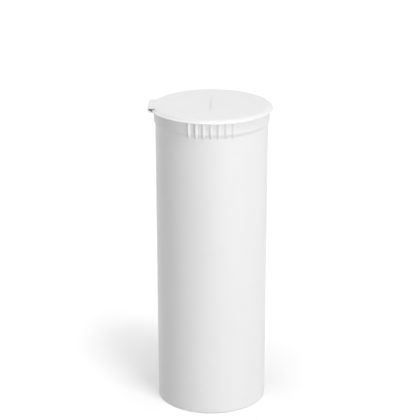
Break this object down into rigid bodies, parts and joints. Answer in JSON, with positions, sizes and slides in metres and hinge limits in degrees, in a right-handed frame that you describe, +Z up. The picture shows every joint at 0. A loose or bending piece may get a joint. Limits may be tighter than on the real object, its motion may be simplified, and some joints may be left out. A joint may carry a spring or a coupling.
{
  "type": "pop top bottle",
  "caption": "Tall opaque white squeeze-top vial: round bottle with grip ribs under the rim and a flat plug lid on a living hinge.",
  "frame": {"origin": "on the bottle's axis, in the plane that it stands on", "axes": "+Z up along the bottle's axis; -X towards the hinge; -Y towards the front row of grip ribs, +Y towards the rear row"},
  "size_m": [0.0541, 0.053, 0.136],
  "materials": {
    "bottle": "opaque white polypropylene, moulded, satin",
    "hinge": "opaque white polypropylene, thin and flexed, satin",
    "lid": "opaque white polypropylene, moulded, satin"
  },
  "bodies": {
    "bottle": {"bottle_body": "bottle", "hinge_web": "hinge"},
    "lid": {"lid_cover": "lid", "lid_plug_ring": "lid"}
  },
  "joints": [
    {"name": "lid_hinge", "type": "hinge", "parent": "bottle", "child": "lid", "pos_m": [-0.0274, 0, 0.135], "axis": [0, -1, 0], "range_deg": [0, 175], "deforming": ["hinge_web"]}
  ]
}
